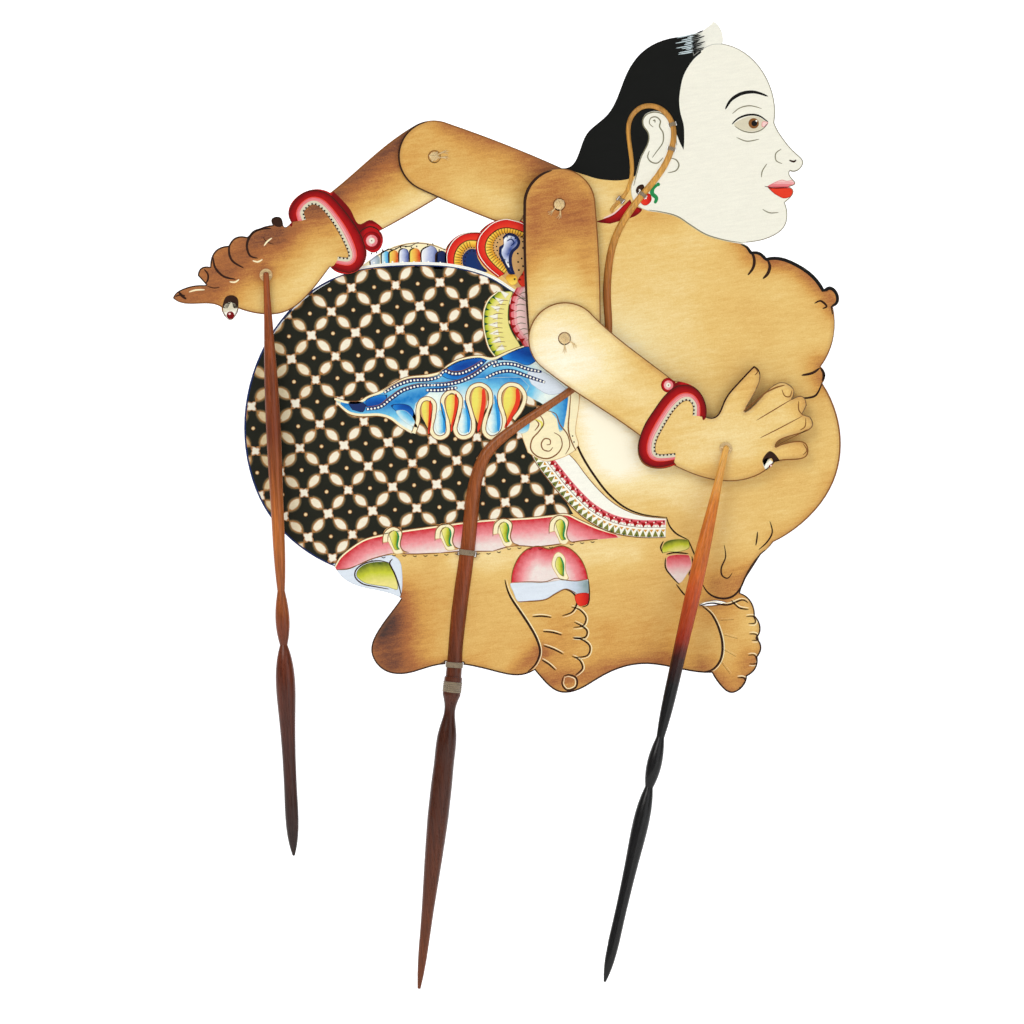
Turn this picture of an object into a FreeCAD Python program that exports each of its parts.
import FreeCAD, Part
import math
import os

# Flat leather rod puppet: a stout retainer in profile, cut from hide and held in a split horn rod.
# Millimetres.  +Z is up, +X is the way the figure faces, and -Y is the side that is looked at.
# The origin is on the axis of the main rod, in the middle of the round grip of its handle.

V = FreeCAD.Vector
Y_AXIS = V(0, 1, 0)
FRONT = -1.0
REAR = 1.0

# Hide
figure_height = 382.0          # sole of the foot to the tip of the hair
body_thickness = 1.3
arm_thickness = 1.2

# Limbs, measured between the cord holes
upper_arm_length = 76.4
upper_arm_width = 41.0
upper_arm_fullness = 1.0       # how far each long side of the upper arm bows out
front_forearm_length = 110.8
rear_forearm_length = 117.2
front_upper_arm_angle = -87.8  # degrees above +X, in the pose that the puppet rests in
front_forearm_angle = -34.3
rear_upper_arm_angle = 158.8
rear_forearm_angle = 215.5
rear_arm_sweep = 4.8           # degrees that the rear arm's plane turns, from behind the shoulder
                               # to before the rump, so that the rear hand and its rod lie over the cloth

# Main rod: turned handle below, split fork above
handle_lean = 6.3              # degrees that the handle's top leans towards +X
grip_diameter = 12.1
grip_length = 18.0
handle_below_grip = 98.4       # grip's lower edge to the spike's tip
spike_tip_diameter = 1.8
handle_above_grip = 44.0       # grip's upper edge to the narrowest part of the neck
neck_diameter = 6.3
collar_diameter = 10.2
collar_rim = 1.6               # height of the plain rim below the whipping
collar_head = 2.6              # height of the solid head above the whipping
neck_to_collar = 8.0
fork_root_width = 8.9
fork_flatness = 0.8            # depth of each fork half over half its width
fork_clearance = 0.02          # between each fork half and the hide it clamps

# Threads
whipping_thread_diameter = 1.2
whipping_turns = 5
whipping_seat_depth = 0.5
tie_thickness = 0.35           # a tie round the thin part of the fork
tie_width = 2.0
root_tie_thickness = 0.45      # a tie round the thick part of the fork
root_tie_width = 3.0
tie_clearance = 0.2
slot_clearance = 0.25          # round a tie, where it goes through the hide

# Joint cords, their knots and washers
cord_diameter = 2.2
knot_diameter = 6.0
knot_height = 1.4
flat_knot_height = 0.8         # a knot that is pressed flat under a moving limb
knot_rounding = 0.6            # how much of a knot's height its rounded rim takes
flat_knot_diameter = 5.0
washer_diameter = 11.0
thinnest_washer = 0.6
running_clearance = 0.05       # round a cord that a limb turns on
running_gap = 0.1              # between faces that turn on each other
layer_clearance = 0.25         # between a limb and what it swings over

# Hand rods
front_hand_rod_length = 308.0  # eye to tip
rear_hand_rod_length = 329.0
front_hand_rod_angle = -103.1  # degrees above +X, in the plane of the figure
rear_hand_rod_angle = -87.3
front_hand_rod_diameter = 8.6
rear_hand_rod_diameter = 8.2
front_handle_diameter = 8.0
rear_handle_diameter = 9.3
hand_rod_head_diameter = 3.4   # the round head that the eye goes through
hand_rod_tip_diameter = 2.4
front_hand_rod_lean = 5.0      # degrees that the rod stands away from the figure
rear_hand_rod_lean = 1.5
loop_thread_diameter = 1.2
loop_knot_diameter = 7.2
loop_knot_height = 0.8
loop_side_gap = 0.3            # between the rod's head and each leg of the loop
loop_bend = 0.8                # radius that the loop's thread turns at each end of the eye
hand_hole_diameter = 2.1

# The drawing of the figure below is in millimetres at this height, from this point on the rod
DRAWN_HEIGHT = 382.0
DRAWN_FORK_ROOT = (7.7, 70.0)
DRAWN_SHOULDER = (68.0, 339.0)
DRAWN_FRONT_ELBOW = (71.0, 262.5)
DRAWN_REAR_ELBOW = (-3.0, 366.5)
DRAWN_FRONT_FOREARM = (110.8, -34.3)   # length and angle that the forearm is drawn at
DRAWN_REAR_FOREARM = (117.2, 215.5)
DRAWN_ROSETTE_SIDE = (29.0, 329.5)     # where the rear arm leaves the body's shelter

figure_scale = figure_height / DRAWN_HEIGHT
half_body = body_thickness / 2
whipping_height = whipping_turns * whipping_thread_diameter
neck_height = grip_length / 2 + handle_above_grip
collar_foot = neck_height + neck_to_collar
fork_height = collar_foot + collar_rim + whipping_height + collar_head
handle_axis = V(math.sin(math.radians(handle_lean)), 0, math.cos(math.radians(handle_lean)))


def unit(angle):
    """Direction in the plane of the figure, so many degrees above +X."""
    return V(math.cos(math.radians(angle)), 0, math.sin(math.radians(angle)))


def place(point):
    """Where a drawn point of the figure lies: the drawing hangs on the root of the fork."""
    x = point[0] - DRAWN_FORK_ROOT[0]
    z = point[1] - DRAWN_FORK_ROOT[1]
    return handle_axis * fork_height + V(x * figure_scale, 0, z * figure_scale)


def place_limb(joint, length, angle, drawn_joint, drawn_length_angle):
    """A function that lays points drawn on a limb from its joint, at the limb's length and angle."""
    drawn_length, drawn_angle = drawn_length_angle
    stretch = length / drawn_length
    turn = math.radians(angle - drawn_angle)

    def lay(point):
        x = (point[0] - drawn_joint[0]) * stretch
        z = (point[1] - drawn_joint[1]) * stretch
        across = x * math.cos(turn) - z * math.sin(turn)
        up = x * math.sin(turn) + z * math.cos(turn)
        return joint + V(across, 0, up)

    return lay


def smooth(points):
    """One smooth edge through points; two points make a straight one."""
    if len(points) == 2:
        return Part.LineSegment(*points).toShape()
    curve = Part.BSplineCurve()
    curve.interpolate(points)
    return curve.toShape()


def outline(runs, lay):
    """A closed wire of smooth runs that meet at corners; each run starts where the last one ended."""
    first = lay(runs[0][0])
    edges = []
    last = None
    for run in runs:
        points = [lay(point) for point in run]
        if last is not None:
            points.insert(0, last)
        edges.append(smooth(points))
        last = points[-1]
    if last.distanceToPoint(first) > 1e-6:
        edges.append(smooth([last, first]))
    return Part.Wire(edges)


def cut_sheet(wire, start, end):
    """Hide cut to wire, from y = start to y = end."""
    face = Part.Face(wire)
    face.translate(V(0, start, 0))
    return face.extrude(V(0, end - start, 0))


def disc(centre, start, end, diameter):
    """A round piece square to the figure, from y = start to y = end."""
    low, high = min(start, end), max(start, end)
    return Part.makeCylinder(diameter / 2, high - low, V(centre.x, low, centre.z), Y_AXIS)


def knot(centre, face, way, height, diameter):
    """A knot pulled down on a face at y = face: a button that stands out the given way, its rim rounded."""
    top = face + way * height
    button = disc(centre, face, top, diameter)
    boxes = [(edge, edge.BoundBox) for edge in button.Edges]
    rim = [edge for edge, box in boxes if abs(box.YMin - top) < 1e-4 and abs(box.YMax - top) < 1e-4]
    return button.makeFillet(height * knot_rounding, rim)


def sweep_rear(shape):
    """Turns a piece of the rear arm into the rear arm's plane."""
    shape.rotate(shoulder, V(0, 0, 1), rear_arm_sweep)
    return shape


def turned(stations, foot, axis):
    """A turned solid: smooth runs of (distance along axis, radius), joined by corners."""
    across = V(axis.z, 0, -axis.x)
    across.normalize()

    def lay(station):
        return foot + axis * station[0] + across * station[1]

    runs = [[(stations[0][0][0], 0.0), stations[0][0]]]
    runs.append(stations[0][1:])
    runs.extend(stations[1:])
    runs.append([(stations[-1][-1][0], 0.0)])
    face = Part.Face(outline(runs, lay))
    return face.revolve(foot, axis, 360)


# ---------------------------------------------------------------- the fork and the layers

# Middle line of the fork on the figure, with its width as a share of the root's width.
FORK = (
    (7.7, 70.0, 1.0), (8.7, 84.0, 0.93), (10.2, 101.0, 0.97), (12.7, 121.0, 0.98), (15.5, 141.0, 0.95),
    (17.6, 161.0, 0.92), (20.0, 180.0, 0.85), (27.0, 198.0, 0.75), (38.5, 209.0, 0.65), (53.0, 219.0, 0.56),
    (69.0, 229.5, 0.49), (82.0, 239.5, 0.48), (92.0, 252.0, 0.48), (96.0, 267.0, 0.49), (95.3, 284.0, 0.51),
    (95.8, 301.0, 0.50), (99.4, 319.0, 0.47), (106.5, 333.0, 0.45), (115.5, 345.0, 0.42),
    (125.5, 357.5, 0.40), (132.0, 371.0, 0.38), (132.5, 385.0, 0.35), (125.5, 394.0, 0.34),
    (115.5, 395.0, 0.32), (108.5, 388.0, 0.30), (107.5, 378.0, 0.28), (109.2, 365.0, 0.27),
    (108.5, 352.0, 0.26), (103.0, 342.0, 0.25), (97.5, 335.0, 0.24),
)
ROOT_TIES = ((8.2, 77.0, 0.96), (15.5, 141.0, 0.95))
TIES = ((115.5, 345.0, 0.42), (132.0, 371.0, 0.38), (132.5, 385.0, 0.35), (103.0, 342.0, 0.25))

shoulder = place(DRAWN_SHOULDER)


def fork_radius(station):
    """Half the fork's width at a station."""
    return fork_root_width * station[2] / 2


def fork_reach(station):
    """How far the fork stands out from the middle of the hide at a station."""
    return half_body + fork_clearance + fork_flatness * fork_radius(station)


arm_reach = upper_arm_length * figure_scale + upper_arm_width
near_shoulder = [s for s in FORK if place(s).distanceToPoint(shoulder) < arm_reach]
knot_room = tie_clearance + layer_clearance + flat_knot_height
upper_arm_inner = max(fork_reach(s) for s in near_shoulder) + tie_thickness + knot_room
upper_arm_outer = upper_arm_inner + arm_thickness
forearm_inner = max(
    upper_arm_outer + thinnest_washer + running_gap,
    max(fork_reach(s) for s in FORK) + root_tie_thickness + knot_room,
)
forearm_outer = forearm_inner + arm_thickness
# The rear arm is built square to the body and then turned about the upright line through the shoulder.
sweep_slope = math.tan(math.radians(rear_arm_sweep))
shelter = shoulder.x - place(DRAWN_ROSETTE_SIDE).x
rear_upper_arm_inner = half_body + running_gap + shelter * sweep_slope
rear_upper_arm_outer = rear_upper_arm_inner + arm_thickness
rear_forearm_inner = rear_upper_arm_outer + thinnest_washer + running_gap
rear_forearm_outer = rear_forearm_inner + arm_thickness
hand_rod_stand = running_gap + loop_knot_height + layer_clearance + hand_rod_head_diameter / 2

front_elbow = shoulder + unit(front_upper_arm_angle) * (upper_arm_length * figure_scale)
rear_elbow = shoulder + unit(rear_upper_arm_angle) * (upper_arm_length * figure_scale)
front_hand = front_elbow + unit(front_forearm_angle) * (front_forearm_length * figure_scale)
rear_hand = rear_elbow + unit(rear_forearm_angle) * (rear_forearm_length * figure_scale)
cord_hole = cord_diameter + 2 * running_clearance


# ---------------------------------------------------------------- the body

def figure_wire():
    """The cut edge of the body, from the tip of the hair round by the face, feet, rump and back."""
    hair_tip = [(156, 443.5), (159.5, 440), (161, 436), (161, 431)]
    forehead = [(172, 427), (182, 418), (188.5, 406), (191, 393), (190.5, 386)]
    nose = [(195.5, 377), (203, 368.5), (207, 363.5), (205, 359.5), (199.5, 358.5)]
    upper_lip = [(200, 355), (202.5, 352), (199, 349.5)]
    lower_lip = [(201.5, 346.5), (199.5, 343), (196.5, 340.5)]
    chin = [(198, 334), (196.5, 327), (190, 321.5), (181, 318.5), (172, 317.5)]
    throat = [(175.5, 315.5), (177.5, 312.5)]
    collar_bones = [(181.5, 312.5), (186, 309)]
    chest = [(193, 309.5), (203, 306), (212, 300), (219, 291)]
    breast = [(223, 292.5), (227.5, 286), (224, 281)]
    ribs = [(225, 270), (222.5, 257), (217, 247)]
    waist = [(219.5, 243), (218, 237.5)]
    belly = [(224, 226), (228.5, 203), (224.5, 182), (211, 162), (190, 147)]
    below_belly = [(187, 143.5), (183, 140)]
    groin = [(177, 132), (171, 118)]
    far_foot = [
        [(175.5, 115.5), (178.5, 111), (179.5, 105)],
        [(182.5, 100), (182.5, 95.5), (180.5, 92.5)],
        [(183.2, 87.5), (181, 81.5)],
        [(180.5, 76), (175, 70.5)],
        [(173, 65), (166, 61), (160, 65), (155, 72.5)],
    ]
    sole = [(142, 73.5), (130, 76), (117, 77.5), (104, 75.5), (90, 69), (77, 62), (68, 61.5), (60, 67),
            (54, 74)]
    near_foot = [(45, 71), (32, 73), (14, 77), (-3, 76.5), (-19, 72), (-32, 74), (-39, 84), (-35, 97),
                 (-22, 115)]
    cloth_hem = [(-33, 119), (-45, 121.5), (-60, 133)]
    rump = [(-82, 146), (-99, 165), (-109, 190), (-111.5, 215), (-107, 242), (-94, 269), (-75, 289),
            (-54, 300)]
    waist_fold = [(-47, 303), (-41, 307)]
    waist_lobe = [(-30, 314), (-12, 318), (3, 314)]
    near_rosette = [(10, 321.5), (22.5, 323.6)]
    far_rosette = [(29, 329), (38, 331), (45, 329.3)]
    back = [(49, 337), (53, 348), (60, 357), (70, 360)]
    nape = [(75, 361.5), (79, 368), (84, 380), (95, 390), (101, 400), (106, 413), (115, 426)]
    crown = [(129, 433.5), (146, 437), (156, 443.5)]
    runs = [hair_tip, forehead, nose, upper_lip, lower_lip, chin, throat, collar_bones, chest, breast, ribs]
    runs += [waist, belly, below_belly, groin] + far_foot + [sole, near_foot, cloth_hem, rump, waist_fold]
    runs += [waist_lobe, near_rosette, far_rosette, back, nape + crown]
    return outline(runs, place)


def instep_gap_wire():
    """The sliver of openwork between the loin cloth and the far foot."""
    return outline([[(148, 111), (155, 113.5), (163, 112.5)], [(156, 111), (148, 111)]], place)


def fork_frame(station):
    """Point, direction and in-plane normal of the fork at a station or under a tie."""
    curve = Part.BSplineCurve()
    curve.interpolate([place(s) for s in FORK])
    position = curve.parameter(place(station))
    point = curve.value(position)
    tangent = V(*curve.tangent(position)[0])
    return point, tangent, V(tangent.z, 0, -tangent.x)


def all_ties():
    """Every tie with its thickness and width."""
    thick = [(tie, root_tie_thickness, root_tie_width) for tie in ROOT_TIES]
    return thick + [(tie, tie_thickness, tie_width) for tie in TIES]


def tie_slots():
    """The slots beside the fork that its ties are sewn through."""
    slots = []
    for tie, thickness, width in all_ties():
        point, tangent, normal = fork_frame(tie)
        across = fork_radius(tie) + tie_clearance + thickness / 2
        for side in (-1, 1):
            middle = point + normal * (side * across)
            corner_a = middle - tangent * (width / 2 + slot_clearance)
            corner_b = middle + tangent * (width / 2 + slot_clearance)
            half = normal * (thickness / 2 + slot_clearance)
            face = Part.Face(Part.makePolygon([corner_a - half, corner_b - half, corner_b + half,
                                               corner_a + half, corner_a - half]))
            face.translate(V(0, -body_thickness, 0))
            slots.append(face.extrude(V(0, 2 * body_thickness, 0)))
    return slots


def make_body():
    body = cut_sheet(figure_wire(), -half_body, half_body)
    gap = cut_sheet(instep_gap_wire(), -body_thickness, body_thickness)
    hole = disc(shoulder, -body_thickness, body_thickness, cord_hole)
    return body.cut([gap, hole] + tie_slots())


# ---------------------------------------------------------------- the main rod

def make_handle():
    """The turned part of the main rod: spike, grip, neck and collar, with the seat of the whipping."""
    grip = grip_diameter / 2
    neck = neck_diameter / 2
    collar = collar_diameter / 2
    seat = collar - whipping_seat_depth
    low = -grip_length / 2
    tip = low - handle_below_grip
    whip_foot = collar_foot + collar_rim
    whip_top = whip_foot + whipping_height
    spike = [(tip, spike_tip_diameter / 2)]
    for share, girth in ((0.12, 0.36), (0.39, 0.54), (0.67, 0.77), (1.0, 1.0)):
        spike.append((tip + share * handle_below_grip, girth * grip))
    straight = [(grip_length / 2, grip)]
    shoulder_run = [
        (grip_length / 2 + 0.35 * handle_above_grip, grip - 0.1 * (grip - neck)),
        (grip_length / 2 + 0.72 * handle_above_grip, grip - 0.35 * (grip - neck)),
        (neck_height, neck),
        (neck_height + 0.6 * neck_to_collar, neck + 0.45 * (collar - neck)),
        (collar_foot, collar),
    ]
    runs = [spike, straight, shoulder_run, [(whip_foot, collar)], [(whip_foot, seat)], [(whip_top, seat)]]
    runs += [[(whip_top, collar)], [(fork_height, collar)]]
    return turned(runs, V(0, 0, 0), handle_axis)


def fork_section(point, normal, radius, side):
    """Half-round section of one fork half, flat against the hide on one side."""
    flat = V(0, side * (half_body + fork_clearance), 0)
    left = point - normal * radius + flat
    right = point + normal * radius + flat
    crown = point + flat + V(0, side * fork_flatness * radius, 0)
    return Part.Wire([Part.Arc(left, crown, right).toShape(), Part.LineSegment(right, left).toShape()])


def make_fork_half(side):
    """One half of the split rod, from inside the collar's head to its thin curled end."""
    root = handle_axis * (fork_height - collar_head / 2)
    across = V(handle_axis.z, 0, -handle_axis.x)
    sections = [fork_section(root, across, fork_root_width / 2, side)]
    for station in FORK:
        point, _, normal = fork_frame(station)
        sections.append(fork_section(point, normal, fork_radius(station), side))
    return Part.makeLoft(sections, True, False)


def make_main_rod():
    return make_handle().fuse([make_fork_half(FRONT), make_fork_half(REAR)]).removeSplitter()


def tie_band(point, normal, radius, grow):
    """Outline round both fork halves, grown outwards by grow."""
    reach = radius + grow
    deep = half_body + fork_clearance + fork_flatness * radius + grow
    level = half_body + fork_clearance
    corners = {}
    for side in (FRONT, REAR):
        middle = point + V(0, side * level, 0)
        corners[side] = (middle - normal * reach, middle + normal * reach)
    front_arc = Part.Arc(corners[FRONT][0], point + V(0, FRONT * deep, 0), corners[FRONT][1])
    rear_arc = Part.Arc(corners[REAR][1], point + V(0, REAR * deep, 0), corners[REAR][0])
    right = Part.LineSegment(corners[FRONT][1], corners[REAR][1])
    left = Part.LineSegment(corners[REAR][0], corners[FRONT][0])
    return Part.Wire([curve.toShape() for curve in (front_arc, right, rear_arc, left)])


def make_rod_ties():
    """The threads that bind the fork to the hide, each a band round both halves."""
    bands = []
    for tie, thickness, width in all_ties():
        point, tangent, normal = fork_frame(tie)
        start = point - tangent * (width / 2)
        radius = fork_radius(tie) + tie_clearance
        outer = Part.Face(tie_band(start, normal, radius, thickness)).extrude(tangent * width)
        inner = Part.Face(tie_band(start, normal, radius, 0.0)).extrude(tangent * width)
        bands.append(outer.cut(inner))
    return Part.makeCompound(bands)


def make_split_whipping():
    """Thread wound round the collar, so that the split runs no further down."""
    seat = collar_diameter / 2 - whipping_seat_depth + fork_clearance
    thread = whipping_thread_diameter / 2
    foot = collar_foot + collar_rim
    turns = []
    for turn in range(whipping_turns):
        middle = foot + (2 * turn + 1) * thread
        crest = seat + thread * 1.4
        hollow = seat + thread * 0.7
        turns.append([(middle, crest), (middle + thread * 0.98, hollow)])
    face_runs = [[(foot + thread * 0.02, seat), (foot + thread * 0.02, seat + thread * 0.7)]] + turns
    face_runs.append([(foot + whipping_height - thread * 0.02, seat)])
    across = V(handle_axis.z, 0, -handle_axis.x)
    wire = outline(face_runs, lambda s: handle_axis * s[0] + across * s[1])
    return Part.Face(wire).revolve(V(0, 0, 0), handle_axis, 360)


# ---------------------------------------------------------------- limbs

def upper_arm_wire(elbow):
    """A plump limb: round at both cords, with sides that bow out a little."""
    along = elbow.sub(shoulder)
    along.normalize()
    across = V(along.z, 0, -along.x)
    half = upper_arm_width / 2
    middle = (shoulder + elbow) * 0.5
    left_top, right_top = shoulder - across * half, shoulder + across * half
    left_low, right_low = elbow - across * half, elbow + across * half
    bow = half + upper_arm_fullness
    edges = [
        Part.Arc(left_top, shoulder - along * half, right_top),
        Part.Arc(right_top, middle + across * bow, right_low),
        Part.Arc(right_low, elbow + along * half, left_low),
        Part.Arc(left_low, middle - across * bow, left_top),
    ]
    return Part.Wire([edge.toShape() for edge in edges])


def make_upper_arm(elbow, inner, outer):
    arm = cut_sheet(upper_arm_wire(elbow), inner, outer)
    return arm.cut([disc(at, 2 * inner - outer, 2 * outer - inner, cord_hole) for at in (shoulder, elbow)])


def front_forearm_wire():
    """Forearm, bracelet and open hand in one, with the palm up."""
    lay = place_limb(front_elbow, front_forearm_length * figure_scale, front_forearm_angle,
                     DRAWN_FRONT_ELBOW, DRAWN_FRONT_FOREARM)
    elbow_round = Part.Arc(lay((57, 247)), lay((56.5, 277)), lay((85, 278))).toShape()
    runs = [
        [(85, 278), (97, 266.5), (114, 253), (133, 238.5)],
        [(139, 237.5), (146, 234), (151, 226), (151.5, 218)],
        [(157, 218.5), (161.5, 227), (169, 237), (178.5, 247)],
        [(181.5, 244.5), (181, 236), (173.5, 221)],
        [(183, 229.5), (196, 237.5), (201, 234), (200, 228)],
        [(206.5, 229.5), (208.5, 224.5)],
        [(206, 219.5)],
        [(210.5, 218)],
        [(212, 213), (203, 208), (191, 201)],
        [(200, 204), (208.5, 202.5), (209, 196.5), (200, 193.5), (190, 192)],
        [(184.5, 187), (168, 181.5), (150, 183.5), (133, 190.5)],
        [(124, 188.5), (115, 192), (112.5, 200), (114, 207)],
        [(97, 219), (78, 231.5), (57, 247)],
    ]
    return Part.Wire(outline_edges(runs, lay) + [elbow_round])


def rear_forearm_wire():
    """Forearm, bracelet and pointing hand in one, reaching back."""
    lay = place_limb(rear_elbow, rear_forearm_length * figure_scale, rear_forearm_angle,
                     DRAWN_REAR_ELBOW, DRAWN_REAR_FOREARM)
    elbow_round = Part.Arc(lay((9, 349.5)), lay((13.7, 378.5)), lay((-15, 383.5))).toShape()
    runs = [
        [(-15, 383.5), (-28, 374.5), (-45, 360), (-62, 345.5)],
        [(-70, 347.5), (-79, 344.5), (-85.5, 336), (-84, 328.5)],
        [(-88.5, 326.5), (-90, 331), (-94.5, 331), (-94.5, 327)],
        [(-103, 324.5), (-109, 320)],
        [(-116, 319.5), (-119.5, 315)],
        [(-126, 313), (-130, 303)],
        [(-135.5, 302), (-137, 298)],
        [(-132, 292.5)],
        [(-138.5, 292.4), (-145, 290.6), (-149.5, 287.8), (-151, 285.2)],
        [(-148.5, 283.4), (-139, 282), (-123.5, 280)],
        [(-122, 275.5), (-118.5, 273), (-115.5, 275.5), (-114, 279.5)],
        [(-102, 276.5), (-88, 277.5), (-76, 286), (-62, 303.5)],
        [(-57, 300), (-47, 301), (-41.5, 309), (-41.5, 313.5)],
        [(-35, 312.5), (-32, 318), (-34, 324)],
        [(-16, 334), (9, 349.5)],
    ]
    return Part.Wire(outline_edges(runs, lay) + [elbow_round])


def outline_edges(runs, lay):
    """The edges of an open outline, run after run."""
    edges = []
    last = None
    for run in runs:
        points = [lay(point) for point in run]
        if last is not None:
            points.insert(0, last)
        edges.append(smooth(points))
        last = points[-1]
    return edges


def make_forearm(wire, elbow, hand, inner, outer):
    arm = cut_sheet(wire, inner, outer)
    elbow_hole = disc(elbow, 2 * inner - outer, 2 * outer - inner, cord_hole)
    hand_hole = disc(hand, 2 * inner - outer, 2 * outer - inner, hand_hole_diameter)
    return arm.cut([elbow_hole, hand_hole])


# ---------------------------------------------------------------- cords, washers and knots

def make_washer(centre, start, end):
    """A hide washer on a cord."""
    hole = disc(centre, 2 * start - end, 2 * end - start, cord_hole)
    return disc(centre, start, end, washer_diameter).cut(hole)


def make_rear_shoulder_washer():
    """The wedge of hide that turns the rear arm out of the body's plane."""
    wedge = sweep_rear(make_washer(shoulder, 0.0, rear_upper_arm_inner - running_gap))
    body = Part.makeBox(4 * washer_diameter, body_thickness, 4 * washer_diameter)
    body.translate(V(shoulder.x - 2 * washer_diameter, -half_body, shoulder.z - 2 * washer_diameter))
    return max(wedge.cut(body).Solids, key=lambda solid: solid.BoundBox.YMax)


def make_shoulder_cord():
    """One cord through both upper arms and the body, with a knot outside each arm."""
    front_end = FRONT * (upper_arm_outer + running_gap)
    rear_end = rear_upper_arm_outer + running_gap
    front = disc(shoulder, 0.0, front_end, cord_diameter).fuse(
        knot(shoulder, front_end, FRONT, knot_height, knot_diameter))
    rear = disc(shoulder, 0.0, rear_end, cord_diameter).fuse(
        knot(shoulder, rear_end, REAR, knot_height, knot_diameter))
    return front.fuse([sweep_rear(rear), Part.makeSphere(cord_diameter / 2, shoulder)]).removeSplitter()


def make_elbow_cord(elbow, upper_inner, lower_outer):
    """The cord of one elbow: a flat knot under the upper arm and a round one outside the forearm."""
    way = math.copysign(1.0, lower_outer)
    end = lower_outer + way * running_gap
    cord = disc(elbow, upper_inner, end, cord_diameter)
    outer = knot(elbow, end, way, knot_height, knot_diameter)
    inner = knot(elbow, upper_inner, -way, flat_knot_height, flat_knot_diameter)
    return cord.fuse([outer, inner])


# ---------------------------------------------------------------- hand rods and their loops
# Both rods hang on the side that is looked at.

def rod_direction(angle, lean):
    """The way a hand rod hangs, leaning away from the figure."""
    lean = math.radians(lean)
    return unit(angle) * math.cos(lean) + V(0, FRONT * math.sin(lean), 0)


def make_hand_tie(hand, angle, face, back):
    """The loop that holds a hand rod: a flat knot, a stem in the hand's hole, and a loop in the eye."""
    thread = loop_thread_diameter / 2
    stem_diameter = hand_hole_diameter - 2 * running_clearance
    foot = face + FRONT * running_gap
    rear_foot = back - FRONT * running_gap
    top = foot + FRONT * loop_knot_height
    level = face + FRONT * hand_rod_stand
    stem = disc(hand, rear_foot, foot, stem_diameter)
    pieces = [knot(hand, rear_foot, -FRONT, flat_knot_height - running_gap, flat_knot_diameter)]
    pieces.append(disc(hand, foot, top, loop_knot_diameter))
    across = V(-unit(angle).z, 0, unit(angle).x)
    half = hand_rod_head_diameter / 2 + loop_side_gap + thread
    middle = hand + V(0, (foot + top) / 2, 0)
    pieces.append(bent_thread(middle, level - middle.y, across, half, thread))
    return stem.fuse(pieces).removeSplitter()


def bent_thread(middle, rise, across, half, radius):
    """A thread that stands up at one side of middle, turns, crosses over and comes down at the other."""
    up = V(0, rise, 0)
    inset = V(0, math.copysign(loop_bend, rise), 0)
    corner = loop_bend * (1 - math.sqrt(0.5))
    path = []
    last = middle - across * half
    path.append((last, last + up - inset))
    arcs = []
    for way in (-1, 1):
        leg = middle + across * (way * half) + up
        over = leg - across * (way * loop_bend)
        bend = leg - across * (way * corner) - V(0, math.copysign(corner, rise), 0)
        arcs.append((leg - inset, bend, over))
    edges = [
        Part.LineSegment(*path[0]),
        Part.Arc(*arcs[0]),
        Part.LineSegment(arcs[0][2], arcs[1][2]),
        Part.Arc(arcs[1][2], arcs[1][1], arcs[1][0]),
        Part.LineSegment(arcs[1][0], middle + across * half),
    ]
    spine = Part.Wire([edge.toShape() for edge in edges])
    section = Part.Wire([Part.makeCircle(radius, last, Y_AXIS)])
    return spine.makePipeShell([section], True, True)


def hand_rod_runs(length, diameter, handle_diameter):
    """Turned profile of a hand rod below its round head: shaft, bead between two necks, handle."""
    shaft = diameter / 2
    handle = handle_diameter / 2
    head = hand_rod_head_diameter / 2
    neck = 0.52 * shaft
    body = [(0.0, head), (0.052, 0.51 * shaft), (0.18, 0.92 * shaft), (0.31, shaft), (0.41, 0.88 * shaft)]
    body += [(0.505, 0.74 * shaft), (0.545, neck)]
    bead = [(0.565, 0.8 * shaft), (0.597, 0.98 * shaft), (0.622, 0.8 * shaft), (0.638, neck)]
    grip = [(0.665, 0.95 * handle), (0.765, handle), (0.895, 0.8 * handle), (0.985, 0.42 * handle)]
    grip.append((1.0, hand_rod_tip_diameter / 4))
    return [[(share * length, radius) for share, radius in run] for run in (body, bead, grip)]


def make_hand_rod(hand, angle, lean, face, length, diameter, handle_diameter):
    """A turned horn rod with a round head, drilled across for the loop."""
    direction = rod_direction(angle, lean)
    eye = hand + V(0, face + FRONT * hand_rod_stand, 0)
    across = V(-unit(angle).z, 0, unit(angle).x)
    radial = direction.cross(across)

    def lay(station):
        return eye + direction * station[0] + radial * station[1]

    runs = hand_rod_runs(length, diameter, handle_diameter)
    head = hand_rod_head_diameter / 2
    edges = outline_edges(runs, lay)
    tip = runs[-1][-1]
    slant = head * math.sqrt(0.5)
    cap = Part.Arc(lay((-head, 0.0)), lay((-slant, slant)), lay((0.0, head)))
    edges.append(smooth([lay(tip), lay((tip[0], 0.0))]))
    edges.append(smooth([lay((tip[0], 0.0)), lay((-head, 0.0))]))
    edges.append(cap.toShape())
    rod = Part.Face(Part.Wire(edges)).revolve(eye, direction, 360)
    bore = loop_thread_diameter / 2 + running_clearance
    drill = Part.makeCylinder(bore, 4 * head, eye - across * (2 * head), across)
    return rod.cut(drill)


# ---------------------------------------------------------------- all the nodes

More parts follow.
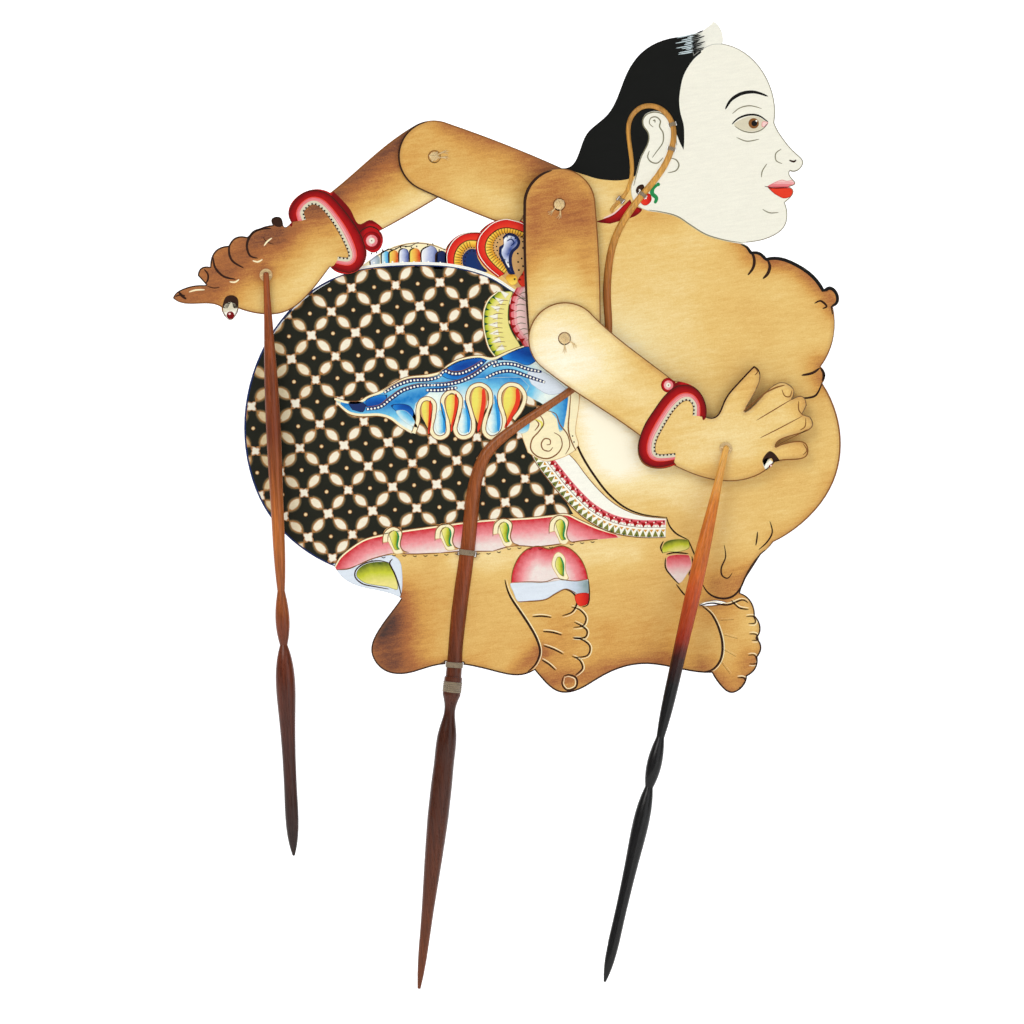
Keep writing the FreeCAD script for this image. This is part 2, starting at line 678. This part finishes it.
def front_arm_nodes():
    upper = (FRONT * upper_arm_inner, FRONT * upper_arm_outer)
    lower = (FRONT * forearm_inner, FRONT * forearm_outer)
    under_arm = FRONT * (upper_arm_inner - running_gap)
    return {
        "front_upper_arm": make_upper_arm(front_elbow, *upper),
        "front_forearm": make_forearm(front_forearm_wire(), front_elbow, front_hand, *lower),
        "front_shoulder_washer": make_washer(shoulder, FRONT * half_body, under_arm),
        "front_elbow_washer": make_washer(front_elbow, upper[1], FRONT * (forearm_inner - running_gap)),
        "front_elbow_cord": make_elbow_cord(front_elbow, upper[0], lower[1]),
        "front_hand_tie": make_hand_tie(front_hand, front_hand_rod_angle, lower[1], lower[0]),
        "front_hand_rod": make_hand_rod(front_hand, front_hand_rod_angle, front_hand_rod_lean, lower[1],
                                        front_hand_rod_length, front_hand_rod_diameter,
                                        front_handle_diameter),
    }


def rear_arm_nodes():
    upper = (rear_upper_arm_inner, rear_upper_arm_outer)
    lower = (rear_forearm_inner, rear_forearm_outer)
    square = {
        "rear_upper_arm": make_upper_arm(rear_elbow, *upper),
        "rear_forearm": make_forearm(rear_forearm_wire(), rear_elbow, rear_hand, *lower),
        "rear_elbow_washer": make_washer(rear_elbow, upper[1], rear_forearm_inner - running_gap),
        "rear_elbow_cord": make_elbow_cord(rear_elbow, upper[0], lower[1]),
        "rear_hand_tie": make_hand_tie(rear_hand, rear_hand_rod_angle, lower[0], lower[1]),
        "rear_hand_rod": make_hand_rod(rear_hand, rear_hand_rod_angle, rear_hand_rod_lean, lower[0],
                                       rear_hand_rod_length, rear_hand_rod_diameter, rear_handle_diameter),
    }
    nodes = {name: sweep_rear(shape) for name, shape in square.items()}
    nodes["rear_shoulder_washer"] = make_rear_shoulder_washer()
    return nodes


def build():
    nodes = {
        "body_sheet": make_body(),
        "main_rod": make_main_rod(),
        "rod_ties": make_rod_ties(),
        "split_whipping": make_split_whipping(),
        "shoulder_cord": make_shoulder_cord(),
    }
    nodes.update(front_arm_nodes())
    nodes.update(rear_arm_nodes())
    return nodes


def swept(point, y):
    """Where a point of the rear arm at y lies once the arm is in its plane."""
    return sweep_rear(Part.Vertex(V(point.x, y, point.z))).Point


os.makedirs("parts", exist_ok=True)
for node, shape in build().items():
    shape.exportStep(os.path.join("parts", node + ".step"))
    box = shape.BoundBox
    print(node, "solids", len(shape.Solids), "valid", shape.isValid(), "volume", round(shape.Volume, 1),
          "z", round(box.ZMin, 1), round(box.ZMax, 1))
front_eye = front_hand + V(0, FRONT * (forearm_outer + hand_rod_stand), 0)
rear_eye = swept(rear_hand, rear_forearm_inner + FRONT * hand_rod_stand)
layers = (upper_arm_inner, forearm_inner, rear_upper_arm_inner, rear_forearm_inner)
print("layers", [round(level, 2) for level in layers])
for name, point in (("shoulder", shoulder), ("front_elbow", front_elbow), ("front_hand", front_hand),
                    ("rear_elbow", swept(rear_elbow, 0.0)), ("rear_hand", swept(rear_hand, 0.0)),
                    ("front_eye", front_eye), ("rear_eye", rear_eye)):
    print(name, [round(v, 4) for v in point])
